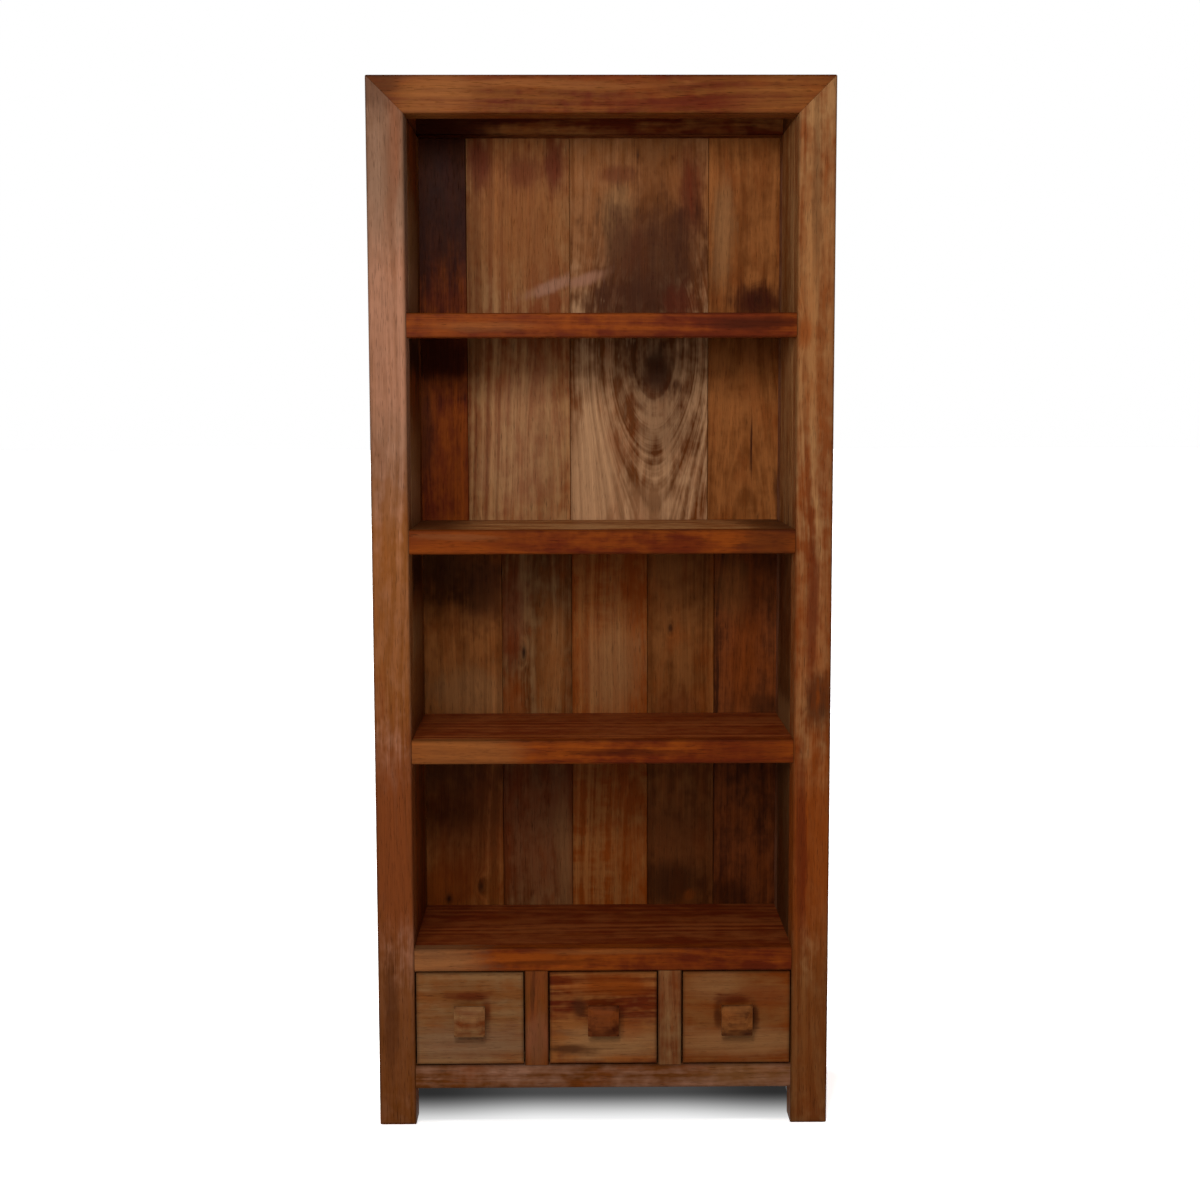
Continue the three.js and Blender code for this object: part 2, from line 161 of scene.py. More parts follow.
class BookcaseStage(bpy.types.PropertyGroup):
    """Camera, lamps and floor."""
    key_power: number("Key lamp", "Soft lamp above the camera", 21, unit="POWER")
    key_size: length("Key size", "Side of the key lamp", 0.46, min=0.01)
    screen_power: number("Screen lamp", "Wider soft lamp on the left", 19, unit="POWER")
    screen_size: length("Screen size", "Side of the screen lamp", 0.65, min=0.01)
    high_strength: number("High lamp", "Soft light from overhead, in front", 0.4)
    rear_strength: number("Rear lamps", "Soft light on the back and sides", 1.6)
    room: share("Room light", "Strength of the light from all round", 0.025)
    floor_white: number("Floor white", "How white the floor looks", 2.8)


def midway(node, axis):
    """The middle of a node's box along x, y or z."""
    low, high = (getattr(corner, axis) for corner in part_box(node))
    return (low + high) / 2


def tone(name):
    """The colour of a stain, with its alpha."""
    return (*getattr(bpy.context.scene.bookcase_stains, name), 1)


def math_node(operation, reflected=False):
    """A method of a field that adds one Math node."""
    def worked(self, *others):
        values = (*others, self) if reflected else (self, *others)
        return self.bench.add("ShaderNodeMath", {"operation": operation}, dict(enumerate(values)))
    return worked


class Field:
    """An output of a node, on which plain arithmetic adds Math nodes."""

    def __init__(self, bench, socket):
        self.bench = bench
        self.socket = socket

    __add__ = math_node("ADD")
    __sub__ = math_node("SUBTRACT")
    __rsub__ = math_node("SUBTRACT", reflected=True)
    __mul__ = math_node("MULTIPLY")
    __truediv__ = math_node("DIVIDE")
    __pow__ = math_node("POWER")
    __abs__ = math_node("ABSOLUTE")
    exp = math_node("EXPONENT")
    least = math_node("MINIMUM")
    most = math_node("MAXIMUM")

    def between(self, low, high, start=0.0, end=1.0, soft=False):
        """The field from low to high, brought to start to end and held there."""
        settings = {"clamp": True, "interpolation_type": "SMOOTHSTEP" if soft else "LINEAR"}
        sockets = {"Value": self, "From Min": low, "From Max": high, "To Min": start, "To Max": end}
        return self.bench.add("ShaderNodeMapRange", settings, sockets)


class Bench:
    """A node tree, and the ways in which this file adds to it."""

    def __init__(self, tree):
        self.tree = tree

    def add(self, kind, settings=None, sockets=None, out=0):
        """Adds one node, with its settings first, and gives one of its outputs."""
        node = self.tree.nodes.new(kind)
        for key, value in (settings or {}).items():
            setattr(node, key, value)
        for key, value in (sockets or {}).items():
            self.join(value, node.inputs[key])
        return Field(self, node.outputs[out]) if len(node.outputs) else node

    def join(self, value, socket):
        """Links a field to a socket, or sets the socket to a plain value."""
        if isinstance(value, Field):
            self.tree.links.new(value.socket, socket)
        else:
            socket.default_value = value

    def split(self, vector):
        """The three parts of a vector."""
        node = self.add("ShaderNodeSeparateXYZ", None, {0: vector}).socket.node
        return [Field(self, output) for output in node.outputs]

    def stretched(self, vector, scale):
        return self.add("ShaderNodeVectorMath", {"operation": "MULTIPLY"}, {0: vector, 1: scale})

    def tinted(self, factor, first, second):
        """Two colours mixed. Inputs 0, 6 and 7 of a colour Mix are its factor, A and B."""
        sockets = {0: factor, 6: first, 7: second}
        return self.add("ShaderNodeMix", {"data_type": "RGBA"}, sockets, out=2)

    def shaded(self, colour, amount):
        return self.add("ShaderNodeVectorMath", {"operation": "SCALE"},
                        {0: colour, "Scale": amount})


def new_material(name):
    """An empty material of that name, with its bench."""
    material = bpy.data.materials.new(name)
    material.use_nodes = True
    material.node_tree.nodes.clear()
    return material, Bench(material.node_tree)


def finish_surface(bench, sockets):
    """Ends a material in one Principled surface."""
    surface = bench.add("ShaderNodeBsdfPrincipled", None, sockets)
    bench.add("ShaderNodeOutputMaterial", None, {"Surface": surface})


# A board's axes name those along and across its grain; the third axis runs through the board.
Board = namedtuple("Board", "axes light dark shade seed knots patches curl wander ring figure",
                   defaults=((), (), 0.4, 1.0, 1.0, 1.0))
# A knot raises the growth rings over an ellipse, so that they close round it.
Knot = namedtuple("Knot", "across along wide long rise dark", defaults=(0.6,))
# Most patches are the wood's own marks; those marked in the tables are painted light, shade or
# sheen.
# A patch with a face, 1 or -1, stays on that side of its board.
Patch = namedtuple("Patch", "across along wide long tone strength slope face",
                   defaults=(0.7, 0.0, 0))

AXES = "xyz"
# Noises in the wood: scale across the grain, scale along it, detail and roughness.
NOISES = {
    "drift": (4.0, 1.3, 2.0, 0.5),
    "streaks": (62.0, 2.4, 3.0, 0.6),
    "clouds": (11.0, 3.5, 3.0, 0.6),
    "fibres": (420.0, 9.0, 2.0, 0.6),
    "pores": (1100.0, 45.0, 1.0, 0.5),
    "curls": (22.0, 95.0, 2.0, 0.5),
    "blots": (26.0, 9.0, 3.0, 0.65),
    "mottle": (44.0, 27.0, 2.0, 0.6),
}
# Turns that spread the seeds of the boards over the noise, and the distance they spread it.
SEED_TURNS = 0.618034, 0.414214, 0.732051
SEED_REACH = 9
# How far the drift moves a board's rings, and its knots across and along, in metres.
WANDER = 0.05
KNOT_WANDER = 0.03, 0.04
# Where the middle of a board's tree lies across the board: a turn of its seed, and the range.
PITH_TURN = 0.37
PITH_RANGE = 0.12
# Ranges over which a noise goes from nothing to full.
PORE_RANGE = 0.62, 0.72
CURL_RANGE = 0.45, 0.6
TONE_RANGE = 0.22, 0.78
BLOT_RANGE = 0.5, 0.7
# Noise of the rings: detail and roughness.
RING_NOISE = 3.0, 0.62
# How much each noise counts between a board's two tones, and in the torn outline of a patch.
TONE_WEIGHTS = {"bands": 1.2, "streaks": 1.3, "clouds": 1.4, "mottle": 1.2}
TORN_WEIGHTS = {"blots": 2.0, "mottle": 1.6, "streaks": 1.4, "fibres": 1.0}
# How strong a patch is by its streaks and rings, and how strong anyway.
PATCH_GRAIN = 0.6, 0.42
# How sharply the dark middle of a knot ends, and how dark it is at most.
KNOT_EDGE = 2.5
KNOT_DARKEST = 0.95
# How much fibres, rings and pores shade the wood, how far they lift and sink it, and what makes
# it rougher.
FIBRE_SHADE, RING_SHADE, PORE_SHADE = 0.5, 0.5, 0.45
FIBRE_RELIEF, RING_RELIEF, PORE_RELIEF = 0.6, 0.5, 1.2
CLOUD_ROUGHNESS, PORE_ROUGHNESS = 0.2, 0.15
BUMP_STRENGTH = 0.5
# How deep a patch that keeps to one side takes to end, in metres.
FACE_STEP = 0.001
SPECULAR = 0.022
PALE_OUTLINE = 0.35


def swing(noises, weights):
    """Noises added up round nothing, each with its weight."""
    total, *terms = ((noises[kind] - 0.5) * weight for kind, weight in weights.items())
    for term in terms:
        total = total + term
    return total


def shading(noise, depth):
    """A shade round one that follows a noise, with the depth between its extremes."""
    return noise * depth + (1.0 - depth / 2)


def timber(name, board, low, high, outline=1.0):
    """Stained and lacquered wood, with the rings, knots, fibres and pores of one board."""
    settings = bpy.context.scene.bookcase_timber
    outline = outline * settings.outline_depth
    material, bench = new_material(name)
    place = bench.add("ShaderNodeTexCoord", out="Object")
    xyz = dict(zip(AXES, bench.split(place)))
    third = AXES.translate(str.maketrans("", "", board.axes))
    along, across, deep = (xyz[a] for a in board.axes + third)
    middle = {a: (low[i] + high[i]) / 2 for i, a in enumerate(AXES)}
    shift = [math.modf(board.seed * turn)[0] * SEED_REACH for turn in SEED_TURNS]
    grain = bench.add("ShaderNodeCombineXYZ", None,
                      {0: across + shift[0], 1: deep + shift[1], 2: along + shift[2]})

    def noise(kind, out=0):
        across_scale, along_scale, detail, roughness = NOISES[kind]
        vector = bench.stretched(grain, (across_scale, across_scale, along_scale))
        return bench.add("ShaderNodeTexNoise", None, {"Vector": vector, "Scale": 1.0,
                         "Detail": detail, "Roughness": roughness}, out=out)

    drift_across, drift_deep, drift_along = bench.split(noise("drift", out=1))
    wander = WANDER * board.wander
    width = across - middle[board.axes[1]] + (drift_across - 0.5) * wander
    length_wise = along + (drift_along - 0.5) * wander
    pith_across = (math.modf(board.seed * PITH_TURN)[0] - 0.5) * PITH_RANGE
    reach_across = width - pith_across
    reach_deep = deep - middle[third] + (drift_deep - 0.5) * wander + settings.pith
    growth = (reach_across * reach_across + reach_deep * reach_deep) ** 0.5

    hollow = None
    for knot in board.knots:
        aside = (across - knot.across + (drift_across - 0.5) * KNOT_WANDER[0]) / knot.wide
        away = (along - knot.along + (drift_along - 0.5) * KNOT_WANDER[1]) / knot.long
        bell = (0.0 - (aside * aside + away * away)).exp()
        growth = growth + bell * knot.rise
        core = bell ** KNOT_EDGE * knot.dark
        hollow = core if hollow is None else hollow.most(core)

    rings = growth / (settings.ring * board.ring)
    bands = bench.add("ShaderNodeTexNoise", {"noise_dimensions": "1D"}, {
        "W": rings, "Scale": 1.0, "Detail": RING_NOISE[0], "Roughness": RING_NOISE[1]})
    noises = {kind: noise(kind) for kind in NOISES if kind != "drift"}
    streaks, clouds, fibres, pores, curls, blots, mottle = noises.values()
    noises["bands"] = bands
    pores = pores.between(*PORE_RANGE, soft=True)

    weights = {**TONE_WEIGHTS, "bands": TONE_WEIGHTS["bands"] * board.figure}
    curled = (curls - 0.5) * (clouds.between(*CURL_RANGE) * board.curl)
    index = swing(noises, weights) + 0.5 + curled
    light, dark = (tuple(v * board.shade for v in tone(t)[:3]) + (1,) for t in board[1:3])
    colour = bench.tinted(index.between(*TONE_RANGE), dark, light)
    colour = bench.tinted(blots.between(*BLOT_RANGE, 0.0, settings.glow), colour, tone("amber"))
    if board.patches:
        torn = swing(noises, TORN_WEIGHTS) + 1.0
        grained = streaks * PATCH_GRAIN[0] + bands * PATCH_GRAIN[0] + PATCH_GRAIN[1]
    for patch in board.patches:
        aside = width + (middle[board.axes[1]] - patch.across)
        away = (length_wise - aside * patch.slope - patch.along) / patch.long
        aside = aside / patch.wide
        reach = (aside * aside + away * away) * torn
        amount = (0.0 - reach * reach).exp() * grained * patch.strength
        if patch.face:
            plane = middle[third] * patch.face
            amount = amount * (deep * patch.face).between(plane, plane + FACE_STEP)
        colour = bench.tinted(amount.least(1.0), colour, tone(patch.tone))
    if hollow is not None:
        colour = bench.tinted(hollow.least(KNOT_DARKEST), colour, tone("pitch"))

    # The nearest edge is as far as the middle one of the three pairs of faces.
    first, second, last = ((high[i] - low[i]) / 2 - abs(xyz[a] - middle[a])
                           for i, a in enumerate(AXES))
    edge = first.least(second).most(first.most(second).least(last))
    rubbed = edge.between(0.0, settings.outline, outline, 0.0, soft=True)
    level = shading(fibres, FIBRE_SHADE) * (1.0 - pores * PORE_SHADE) * (1.0 - rubbed)
    colour = bench.shaded(colour, level * shading(bands, RING_SHADE * board.figure))

    height = fibres * FIBRE_RELIEF + bands * RING_RELIEF - pores * PORE_RELIEF
    bump = bench.add("ShaderNodeBump", None, {
        "Strength": BUMP_STRENGTH, "Distance": settings.relief, "Height": height})
    rough = (clouds - 0.5) * CLOUD_ROUGHNESS + pores * PORE_ROUGHNESS + settings.gloss
    finish_surface(bench, {"Base Color": colour, "Roughness": rough,
                           "Specular IOR Level": SPECULAR, "Normal": bump})
    return material


def settle(piece):
    """Turns a piece and its modifiers into one plain mesh."""
    graph = bpy.context.evaluated_depsgraph_get()
    mesh = bpy.data.meshes.new_from_object(piece.evaluated_get(graph), depsgraph=graph)
    piece.modifiers.clear()
    piece.data = mesh
    mesh.name = piece.name


def placed(name, data):
    """A new object of a mesh, lamp or camera, at the origin."""
    piece = bpy.data.objects.new(name, data)
    bpy.context.scene.collection.objects.link(piece)
    return piece


def mesh_from(name, solid, sharp=SMOOTH_ANGLE):
    """A mesh from a bmesh, smooth but where its faces meet at a sharper angle."""
    for face in solid.faces:
        face.smooth = True
    for edge in solid.edges:
        edge.smooth = not edge.is_manifold or edge.calc_face_angle() < sharp
    mesh = bpy.data.meshes.new(name)
    solid.to_mesh(mesh)
    solid.free()
    return mesh


def dress(node, name, board, slot, body, cutter=None):
    """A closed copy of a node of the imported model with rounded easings, which stands for it."""
    settings = bpy.context.scene.bookcase_timber
    solid = bmesh.new()
    solid.from_mesh(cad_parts[node].data)
    bmesh.ops.remove_doubles(solid, verts=solid.verts, dist=MERGE_DISTANCE)
    bmesh.ops.dissolve_limit(solid, angle_limit=FLAT_ANGLE, verts=solid.verts, edges=solid.edges)
    weight = solid.edges.layers.float.new("bevel_weight_edge")
    for edge in solid.edges:
        if edge.is_manifold and EASE_ANGLES[0] < edge.calc_face_angle() < EASE_ANGLES[1]:
            edge[weight] = 1
    mesh = mesh_from(name, solid, EASE_ANGLES[1])
    piece = placed(name, mesh)
    low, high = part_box(node)
    outline = PALE_OUTLINE if slot == "back_board_wood" else 1.0
    mesh.materials.append(timber(f"{name}_wood", board, low, high, outline))
    bevel = piece.modifiers.new("Eased edges", "BEVEL")
    bevel.limit_method = "WEIGHT"
    bevel.width = settings.ease
    bevel.segments = settings.ease_steps
    bevel.use_clamp_overlap = True
    if cutter:
        cut = piece.modifiers.new("Countersinks", "BOOLEAN")
        cut.operation = "DIFFERENCE"
        cut.solver = "EXACT"
        cut.object = cutter
    normals = piece.modifiers.new("Flat faces", "WEIGHTED_NORMAL")
    normals.keep_sharp = True
    settle(piece)
    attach(piece, body)
    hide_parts(node)


POST_BOARDS = {
    "post_front_left": Board("zx", "rosy", "chestnut", 1.12, 1, (), (
        Patch(-0.37, 1.7, 1.0, 0.18, "ash", 0.8), Patch(-0.38, 1.82, 0.05, 0.05, "umber", 0.5),
        Patch(-0.352, 1.72, 0.012, 0.14, "sienna", 0.5),
        # The rosy band at 1.36 m and the ash patch at 1.17 m are a painted sheen, a lamp's
        # reflection.
        Patch(-0.37, 1.36, 1.0, 0.17, "rosy", 0.75),
        Patch(-0.37, 1.17, 1.0, 0.09, "ash", 0.4), Patch(-0.37, 0.9, 1.0, 0.22, "honey", 0.65),
        Patch(-0.37, 0.85, 1.0, 0.15, "chestnut", 0.25),
        Patch(-0.37, 0.5, 1.0, 0.215, "sienna", 1.0),
        Patch(-0.372, 0.14, 1.0, 0.19, "chestnut", 0.85),
        Patch(-0.38, 0.2, 0.014, 0.12, "umber", 0.5)), 0.2),
    "post_front_right": Board("zx", "tan", "sienna", 1.0, 2, (
        Knot(0.338, 1.405, 0.01, 0.03, 0.03, 0.1),), (
        Patch(0.37, 1.45, 1.0, 0.25, "honey", 0.35), Patch(0.37, 0.86, 1.0, 0.17, "amber", 0.45),
        Patch(0.372, 1.62, 0.008, 0.17, "umber", 0.4), Patch(0.35, 1.4, 0.015, 0.03, "amber", 0.7),
        Patch(0.36, 0.92, 0.012, 0.14, "russet", 0.7), Patch(0.38, 0.76, 0.03, 0.05, "umber", 0.8),
        Patch(0.37, 0.5, 1.0, 0.205, "amber", 0.85), Patch(0.352, 0.5, 0.012, 0.19, "russet", 0.7),
        Patch(0.37, 0.16, 1.0, 0.17, "chestnut", 0.75)), 0.2),
    "post_rear_left": Board("zx", "honey", "chestnut", 0.95, 3),
    "post_rear_right": Board("zx", "rosy", "chestnut", 0.85, 4),
}

TOP_BOARDS = {
    "top_rail_front": Board("xz", "chestnut", "russet", 0.93, 5, (), (
        Patch(1.8, -0.28, 0.05, 0.07, "honey", 0.6), Patch(1.82, -0.38, 0.03, 0.04, "umber", 0.6),
        Patch(1.82, -0.1, 0.007, 0.2, "honey", 0.5), Patch(1.79, 0.12, 0.012, 0.16, "russet", 0.5),
        Patch(1.8, 0.31, 0.05, 0.08, "honey", 0.35))),
    "top_rail_rear": Board("xz", "honey", "russet", 1.0, 6, (), (
        # Painted shadow: the rear rail's left end, shaded by the front rail and the left post.
        Patch(1.8, -0.32, 1.0, 0.15, "oxblood", 0.95),)),
    "top_rail_left": Board("yz", "amber", "umber", 1.0, 7),
    "top_rail_right": Board("yz", "honey", "umber", 0.9, 8),
    "top_panel": Board("xy", "honey", "umber", 0.9, 9),
}

SIDE_BOARDS = {
    "side_panel_left": Board("zy", "amber", "umber", 0.95, 10, (), (
        # Inner face: painted light low in each bay and painted shade under each shelf.
        Patch(0.0, 1.52, 1.0, 0.12, "tan", 0.9, face=1),
        Patch(0.0, 1.475, 1.0, 0.05, "straw", 0.7, face=1),
        Patch(0.0, 1.37, 1.0, 0.04, "pitch", 0.9, face=1),
        Patch(0.0, 1.14, 1.0, 0.1, "tan", 1.0, face=1),
        Patch(0.0, 1.11, 1.0, 0.05, "straw", 0.55, face=1),
        Patch(0.0, 0.98, 1.0, 0.04, "pitch", 0.85, face=1),
        Patch(0.0, 0.81, 1.0, 0.11, "honey", 0.9, face=1),
        Patch(0.0, 0.865, 1.0, 0.04, "tan", 0.7, face=1))),
    "side_panel_right": Board("zy", "tan", "chestnut", 1.28, 11, (), (
        # Inner face: painted shade over the lower bays, with a paler painted band low in the third
        # bay.
        Patch(0.0, 0.54, 1.0, 0.47, "pitch", 0.72, face=-1),
        Patch(0.0, 0.93, 1.0, 0.1, "oxblood", 0.7, face=-1),
        Patch(0.0, 0.72, 1.0, 0.03, "tan", 0.6, face=-1),
        Patch(0.0, 0.42, 1.0, 0.12, "oxblood", 0.35, face=-1))),
    "side_rail_left": Board("yz", "amber", "umber", 0.9, 12),
    "side_rail_right": Board("yz", "honey", "umber", 0.9, 13),
}

SHELF_BOARDS = {
    "shelf_rail_upper": Board("xz", "amber", "russet", 0.95, 14, (), (
        Patch(1.42, 0.25, 0.05, 0.085, "russet", 0.8),
        Patch(1.415, 0.27, 0.01, 0.08, "oxblood", 0.9),
        Patch(1.41, -0.2, 0.008, 0.1, "honey", 0.4))),
    "shelf_rail_middle": Board("xz", "amber", "russet", 0.95, 15, (), (
        Patch(1.04, 0.13, 0.012, 0.06, "russet", 0.7), Patch(1.05, 0.29, 0.05, 0.06, "umber", 0.55),
        Patch(1.055, -0.25, 0.006, 0.07, "tan", 0.4),
        Patch(1.04, -0.27, 0.05, 0.11, "amber", 0.6))),
    "shelf_rail_lower": Board("xz", "amber", "russet", 1.08, 16, (), (
        Patch(0.675, -0.26, 0.05, 0.115, "honey", 0.7), Patch(0.67, 0.24, 0.05, 0.1, "russet", 0.6),
        Patch(0.675, 0.03, 0.007, 0.12, "oxblood", 0.6))),
    "shelf_upper": Board("xy", "amber", "umber", 0.9, 17),
    "shelf_middle": Board("xy", "tan", "chestnut", 1.85, 18, (), (
        # Painted shade: the shelf's top darker at both ends, beside the side walls.
        Patch(0.0, -0.32, 1.0, 0.09, "umber", 0.8), Patch(0.0, 0.33, 1.0, 0.07, "umber", 0.8))),
    "shelf_lower": Board("xy", "sienna", "russet", 1.55, 19),
}

BASE_BOARDS = {
    "deck_rail": Board("xz", "amber", "russet", 1.1, 20, (), (
        Patch(0.3, -0.3, 0.05, 0.095, "tan", 0.5), Patch(0.3, 0.2, 0.05, 0.15, "russet", 0.2),
        Patch(0.31, 0.0, 0.006, 0.12, "honey", 0.5),
        Patch(0.29, -0.1, 0.006, 0.1, "oxblood", 0.5))),
    "deck": Board("xy", "sienna", "russet", 1.4, 21),
    "bottom_rail": Board("xz", "rosy", "chestnut", 0.84, 22, (), (
        Patch(0.09, 0.25, 0.03, 0.08, "tan", 0.3),), figure=0.5),
    "divider_1": Board("zx", "sienna", "chestnut", 1.0, 23, (), (
        Patch(-0.122, 0.24, 0.005, 0.06, "umber", 0.5),
        Patch(-0.113, 0.15, 0.03, 0.05, "rosy", 0.2))),
    "divider_2": Board("zx", "tan", "sienna", 0.76, 24, (), (
        Patch(0.118, 0.25, 0.06, 0.05, "sienna", 0.35),), figure=0.4),
}

GUIDE_BOARDS = {
    "case_floor": Board("xy", "amber", "umber", 0.9, 26),
    "guide_frame": Board("yx", "walnut", "chestnut", 0.9, 27),
    "kicker_frame": Board("yx", "walnut", "chestnut", 0.9, 28),
}

BACK_BOARDS = {
    "back_rail": Board("xz", "amber", "umber", 0.9, 25),
    "back_board_upper_1": Board("zx", "amber", "russet", 1.15, 31, (), (
        Patch(-0.29, 1.68, 1.0, 0.2, "pitch", 0.8),
        # Painted shade: the top left corner of the second bay, and a dark band down its left edge.
        Patch(-0.31, 1.375, 0.09, 0.055, "oxblood", 0.95),
        Patch(-0.33, 1.24, 0.02, 0.1, "umber", 0.6),
        Patch(-0.28, 1.47, 0.04, 0.02, "russet", 0.6)), 0.1),
    "back_board_upper_2": Board("zx", "tan", "sienna", 1.08, 32, (), (
        Patch(-0.15, 1.64, 0.11, 0.15, "honey", 0.8),
        Patch(-0.225, 1.73, 0.022, 0.055, "russet", 0.8),
        Patch(-0.145, 1.71, 0.035, 0.035, "russet", 0.65),
        Patch(-0.085, 1.72, 0.02, 0.06, "russet", 0.8),
        Patch(-0.24, 1.5, 0.02, 0.2, "chestnut", 0.5),
        # A painted sheen: a pale slanting streak on the front face, a lamp's reflection, going on
        # to the next board.
        Patch(-0.09, 1.497, 0.048, 0.013, "rosy", 0.95, 0.28, -1),
        Patch(-0.15, 1.2, 0.08, 0.14, "straw", 0.3)), 0.15),
    "back_board_upper_3": Board("zx", "straw", "chestnut", 0.88, 37, (
        Knot(0.1, 1.38, 0.11, 0.18, -0.11, 0.0),), (
        Patch(0.07, 1.68, 1.0, 0.19, "honey", 0.75), Patch(0.12, 1.7, 0.06, 0.1, "chestnut", 0.5),
        Patch(0.036, 1.62, 0.03, 0.07, "tan", 1.0), Patch(0.03, 1.705, 0.035, 0.018, "russet", 0.6),
        Patch(0.17, 1.67, 0.022, 0.09, "russet", 0.75),
        Patch(0.098, 1.54, 0.112, 0.125, "umber", 0.86),
        Patch(0.06, 1.47, 0.1, 0.04, "umber", 0.7), Patch(0.055, 1.58, 0.03, 0.06, "russet", 0.2),
        Patch(0.15, 1.46, 0.03, 0.04, "russet", 0.6),
        Patch(0.105, 1.34, 0.032, 0.05, "pitch", 0.85),
        Patch(0.094, 1.35, 0.08, 0.09, "umber", 0.35),
        # The rest of the painted sheen from the board before.
        Patch(-0.03, 1.513, 0.035, 0.012, "rosy", 0.9, 0.28, -1),
        Patch(-0.01, 1.14, 0.05, 0.14, "straw", 0.8), Patch(0.125, 1.24, 0.07, 0.07, "umber", 0.35),
        Patch(0.09, 1.09, 0.06, 0.04, "straw", 0.4),
        Patch(0.155, 1.61, 0.02, 0.045, "umber", 0.6)), 0.2, 0.4, 1.5, 1.25),
    "back_board_upper_4": Board("zx", "honey", "chestnut", 1.1, 34, (
        Knot(0.3, 1.475, 0.016, 0.02, 0.03, 0.35),), (
        Patch(0.234, 1.6, 0.02, 0.11, "tan", 0.6),
        Patch(0.305, 1.468, 0.055, 0.034, "oxblood", 0.95),
        # Its russet patch under the shelf is painted shade.
        Patch(0.31, 1.38, 0.05, 0.03, "russet", 0.25), Patch(0.23, 1.35, 0.03, 0.03, "honey", 0.7),
        Patch(0.289, 1.2, 0.002, 0.07, "umber", 0.9),
        Patch(0.345, 1.12, 0.012, 0.06, "umber", 0.85)), 0.5, 1.3),
    "back_board_lower_1": Board("zx", "honey", "chestnut", 0.98, 41, (
        Knot(-0.289, 0.332, 0.01, 0.016, 0.02, 0.9), Knot(-0.228, 0.352, 0.011, 0.02, 0.02, 0.8)), (
        # Painted shade: its pitch patch and its last umber patch darken the top left corners of the
        # lower bays.
        Patch(-0.29, 0.35, 0.07, 0.06, "amber", 0.8), Patch(-0.31, 0.99, 0.1, 0.07, "pitch", 0.6),
        Patch(-0.225, 0.93, 0.045, 0.07, "umber", 0.7), Patch(-0.25, 0.73, 0.07, 0.05, "tan", 0.5),
        Patch(-0.25, 0.47, 0.09, 0.12, "russet", 0.4),
        Patch(-0.31, 0.61, 0.1, 0.07, "umber", 0.6)), 0.2),
    "back_board_lower_2": Board("zx", "tan", "chestnut", 0.66, 42, (
        Knot(-0.143, 0.817, 0.007, 0.022, 0.02, 0.9),), (
        # Painted shade: the russet band darkens the board over the lowest bay.
        Patch(-0.12, 0.47, 1.0, 0.19, "russet", 0.55),
        Patch(-0.065, 0.42, 0.012, 0.14, "tan", 0.35),
        Patch(-0.165, 0.88, 0.025, 0.1, "russet", 0.6),
        Patch(-0.165, 0.73, 0.025, 0.05, "amber", 0.6),
        Patch(-0.088, 0.79, 0.03, 0.13, "honey", 0.6)), 0.2),
    "back_board_lower_3": Board("zx", "honey", "amber", 1.02, 43, (), (
        Patch(0.02, 0.79, 0.06, 0.1, "tan", 0.6),), 1.2),
    "back_board_lower_4": Board("zx", "honey", "chestnut", 0.8, 44, (
        Knot(0.133, 0.858, 0.007, 0.014, 0.02, 0.8),), (
        # The oxblood band is painted shade over the lowest bay.
        Patch(0.152, 0.71, 0.05, 0.03, "russet", 0.35), Patch(0.15, 0.4, 1.0, 0.16, "oxblood", 0.6),
        Patch(0.14, 0.36, 0.06, 0.045, "pitch", 0.55),
        Patch(0.172, 0.333, 0.012, 0.012, "amber", 0.4)), 0.3),
    "back_board_lower_5": Board("zx", "sienna", "umber", 1.05, 45, (), (
        # The oxblood band is painted shade over the lowest bay.
        Patch(0.28, 0.8, 0.03, 0.1, "amber", 0.5), Patch(0.29, 0.38, 1.0, 0.14, "oxblood", 0.4),
        Patch(0.25, 0.94, 0.03, 0.06, "honey", 0.5), Patch(0.32, 0.71, 0.03, 0.03, "umber", 0.7),
        Patch(0.25, 0.345, 0.05, 0.03, "pitch", 0.5)), 0.5),
}

DRAWER_BOARDS = {
    "front": ("drawer_front_wood", {
        "left": Board("xz", "tan", "honey", 0.75, 51, (), (
            Patch(0.24, -0.26, 0.02, 0.05, "chestnut", 0.35),
            Patch(0.15, -0.24, 0.03, 0.12, "ash", 0.4),
            # Painted shadow of the knob: dark bands above it and to its right.
            Patch(0.231, -0.234, 0.007, 0.032, "russet", 0.85),
            Patch(0.205, -0.203, 0.022, 0.009, "russet", 0.6)), figure=0.6),
        "middle": Board("xz", "honey", "russet", 0.95, 52, (), (
            Patch(0.15, 0.02, 0.03, 0.1, "tan", 0.85), Patch(0.25, 0.02, 0.022, 0.08, "amber", 0.8),
            Patch(0.135, -0.06, 0.008, 0.04, "umber", 0.8),
            # Painted shadow of the knob, to its upper left.
            Patch(0.21, -0.04, 0.02, 0.014, "umber", 0.8),
            Patch(0.17, 0.05, 0.02, 0.03, "amber", 0.5))),
        "right": Board("xz", "honey", "amber", 0.74, 53, (), (
            Patch(0.26, 0.2, 0.03, 0.05, "tan", 0.4), Patch(0.24, 0.29, 0.02, 0.05, "sienna", 0.6),
            Patch(0.15, 0.24, 0.03, 0.11, "tan", 0.65),
            # Painted shadow of the knob: dark bands above it and on both sides.
            Patch(0.231, 0.236, 0.008, 0.03, "russet", 0.8),
            Patch(0.2, 0.205, 0.024, 0.009, "oxblood", 0.7),
            Patch(0.205, 0.268, 0.024, 0.009, "oxblood", 0.7)), figure=0.6)}),
    **{part: ("drawer_box_wood", {drawer: Board(axes, "walnut", "chestnut", 1, seed + i)
                                  for i, drawer in enumerate(DRAWERS)})
       for part, axes, seed in (("side_left", "yz", 60), ("side_right", "yz", 64),
                                ("back", "xz", 68), ("floor", "yx", 72))},
}


